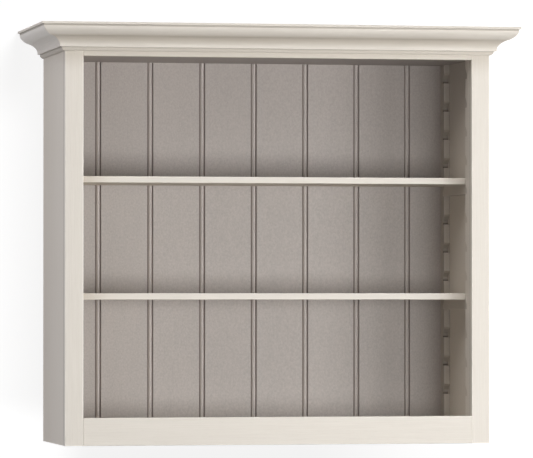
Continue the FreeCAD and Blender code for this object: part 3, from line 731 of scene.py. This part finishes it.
# Stage
STAGE_SPREAD = 6.0
FLOOR_DROP = 1.35
WALL_GAP = 1 * MM
WALL_MATT = 0.20
WALL_GLOW = 0.875
FLOOR_MATT = 0.40
FLOOR_GLOW = 0.55

# Where the shadow on the wall ends, and the light that takes it away there
SHADOW_END = 0.115
RIGHT_END = 110 * MM, 480 * MM
LEFT_END = -455 * MM, -365 * MM
LEFT_END_FOOT = 10 * MM, 110 * MM
FAR_LEFT_END = -800 * MM, -560 * MM


def sheet(name, corners):
    """A flat sheet of the stage with these corners."""
    mesh = bpy.data.meshes.new(name)
    mesh.from_pydata(corners, [], [range(len(corners))])
    item = bpy.data.objects.new(name, mesh)
    bpy.context.scene.collection.objects.link(item)
    return item


def grey(level):
    return level, level, level


def shadow_ends(finish):
    """1 where the cabinet's shadow on the wall ends: far out on both sides, and near by at the left foot."""
    x, _, z = finish.axes()
    left_foot = (1 - x.rise(*LEFT_END)) * (1 - z.rise(*LEFT_END_FOOT))
    return x.rise(*RIGHT_END).most(left_foot).most(1 - x.rise(*FAR_LEFT_END))


def pale_stage(item, matt, glow, ends=None):
    """White paper that keeps the soft shadow, lit partly of itself, more at the shadow's ends.

    It is seen from its front only, and by the camera only.
    """
    material, finish = fresh(item.name)
    own_light = opaque(grey(glow))
    if ends:
        own_light = finish.mix(ends(finish), grey(glow), grey(glow + SHADOW_END))
    paper = finish.node("ShaderNodeBsdfDiffuse", {}, {"Color": opaque(grey(matt))})
    light = finish.node("ShaderNodeEmission", {}, {"Color": own_light})
    face = finish.node("ShaderNodeAddShader", {}, {0: paper, 1: light})
    clear = finish.node("ShaderNodeBsdfTransparent", {}, {})
    behind = finish.node("ShaderNodeNewGeometry", {}, {}, "Backfacing")
    finish.show(finish.node("ShaderNodeMixShader", {}, {0: behind, 1: face, 2: clear}))
    put_on(item, material)
    item.visible_diffuse = False
    item.visible_glossy = False
    item.visible_transmission = False
    item.visible_shadow = False


wall_y = WALL_FACE + WALL_GAP
floor_z = CAD_BOX[0].z - FLOOR_DROP
left_x, right_x = MIDDLE.x - STAGE_SPREAD, MIDDLE.x + STAGE_SPREAD
wall_top = CAD_BOX[1].z + STAGE_SPREAD
floor_front = CAD_BOX[0].y - 2 * STAGE_SPREAD
studio_wall = sheet("studio_wall", [(left_x, wall_y, floor_z), (right_x, wall_y, floor_z),
                                    (right_x, wall_y, wall_top), (left_x, wall_y, wall_top)])
pale_stage(studio_wall, WALL_MATT, WALL_GLOW, shadow_ends)
studio_floor = sheet("studio_floor", [(left_x, floor_front, floor_z), (right_x, floor_front, floor_z),
                                      (right_x, wall_y, floor_z), (left_x, wall_y, floor_z)])
pale_stage(studio_floor, FLOOR_MATT, FLOOR_GLOW)

# Light
WHITE = (1, 1, 1)
COOL_WHITE = (1, 0.97, 1.04)
WALL_BOUNCE = (0.27, 0.265, 0.285)
ROOM_ABOVE = (0.06, 0.06, 0.06)
ROOM_BELOW = (0.03, 0.03, 0.03)
ROOM_TURN = -0.25, 0.25
WALL_TURN = -0.1, 0.1
LAMP_AWAY = 4.0
LAMPS = {
    "left_softbox": dict(turn=-86, rise=20, wide=1.6, high=1.2, level=0.15, colour=COOL_WHITE),
    "high_left_softbox": dict(turn=-42, rise=40, wide=1.4, high=1.6, level=0.22),
    "near_softbox": dict(turn=11, rise=-5, wide=1.4, high=1.1, level=0.32),
    "front_left_softbox": dict(turn=-30, rise=-3, wide=1.4, high=1.1, level=0.08),
    "right_softbox": dict(turn=38, rise=-4, wide=1.4, high=1.1, level=0.34),
    "far_softbox": dict(turn=74, rise=-9, wide=1.6, high=0.9, level=0.40),
    "high_right_softbox": dict(turn=50, rise=50, wide=1.4, high=0.9, level=0.05),
    "back_softbox": dict(turn=180, rise=14, wide=0.8, high=1.6, level=0.42),
}
WALL_LAMP = dict(turn=3, rise=24, wide=1.2, high=1.0, level=0.65)


def studio_world():
    """White for the camera and for reflections, and for the rest the light that a white wall and a room give.

    The wall's light comes from behind the cabinet, and the room's from in front, more from above than below.
    """
    world = bpy.data.worlds.new("studio")
    bpy.context.scene.world = world
    finish = Finish(world)
    way = finish.node("ShaderNodeTexCoord", {}, {}, "Generated")
    height = finish.node("ShaderNodeSeparateXYZ", {}, {0: way}, "Z")
    depth = finish.node("ShaderNodeSeparateXYZ", {}, {0: way}, "Y")
    room = finish.mix(height.rise(*ROOM_TURN), ROOM_BELOW, ROOM_ABOVE)
    around = finish.mix(depth.rise(*WALL_TURN), room, WALL_BOUNCE)
    fill = finish.node("ShaderNodeBackground", {}, {"Color": around})
    white = finish.node("ShaderNodeBackground", {}, {"Color": opaque(WHITE)})
    rays = [finish.node("ShaderNodeLightPath", {}, {}, f"Is {kind} Ray")
            for kind in ("Camera", "Glossy", "Transmission")]
    seen = rays[0].most(rays[1]).most(rays[2])
    shown = finish.node("ShaderNodeMixShader", {}, {0: seen, 1: fill, 2: white})
    finish.show(shown, "ShaderNodeOutputWorld")


def softbox(name, turn, rise, wide, high, level, colour=WHITE):
    """A soft lamp aimed at the cabinet's middle, turned to the right and raised by these degrees.

    Its energy gives a facing matt white surface at the cabinet this level of light, whatever its distance.
    """
    lamp = bpy.data.lights.new(name, "AREA")
    lamp.shape = "RECTANGLE"
    lamp.size, lamp.size_y = wide, high
    lamp.energy = level * (math.pi * LAMP_AWAY) ** 2
    lamp.color = colour
    turn, rise = math.radians(turn), math.radians(rise)
    way = Vector((math.sin(turn) * math.cos(rise), -math.cos(turn) * math.cos(rise), math.sin(rise)))
    item = bpy.data.objects.new(name, lamp)
    bpy.context.scene.collection.objects.link(item)
    item.location = MIDDLE + way * LAMP_AWAY
    item.rotation_euler = way.to_track_quat("Z", "Y").to_euler()
    item.visible_camera = False
    return item


def link_wall(lamp, state):
    """Let a lamp light the wall and nothing else, or everything but the wall."""
    group = bpy.data.collections.new(lamp.name + "_wall")
    group.objects.link(studio_wall)
    group.collection_objects[0].light_linking.link_state = state
    lamp.light_linking.receiver_collection = group


studio_world()
for name, settings in LAMPS.items():
    link_wall(softbox(name, **settings), "EXCLUDE")
link_wall(softbox("wall_softbox", **WALL_LAMP), "INCLUDE")

# Camera
CAMERA_PLACE = (-1.8187, -9.0669, 0.32823)
CAMERA_PITCH = 90.8782
CAMERA_TURN = -11.3306
CAMERA_LENS = 283.69
CAMERA_FILM = 36
CAMERA_FAR = 100
camera_data = bpy.data.cameras.new("photo_camera")
camera_data.sensor_width = CAMERA_FILM
camera_data.lens = CAMERA_LENS
camera_data.clip_end = CAMERA_FAR
camera = bpy.data.objects.new("photo_camera", camera_data)
bpy.context.scene.collection.objects.link(camera)
camera.location = CAMERA_PLACE
camera.rotation_euler = (math.radians(CAMERA_PITCH), 0, math.radians(CAMERA_TURN))
bpy.context.scene.camera = camera
bpy.context.scene.view_settings.view_transform = "Standard"
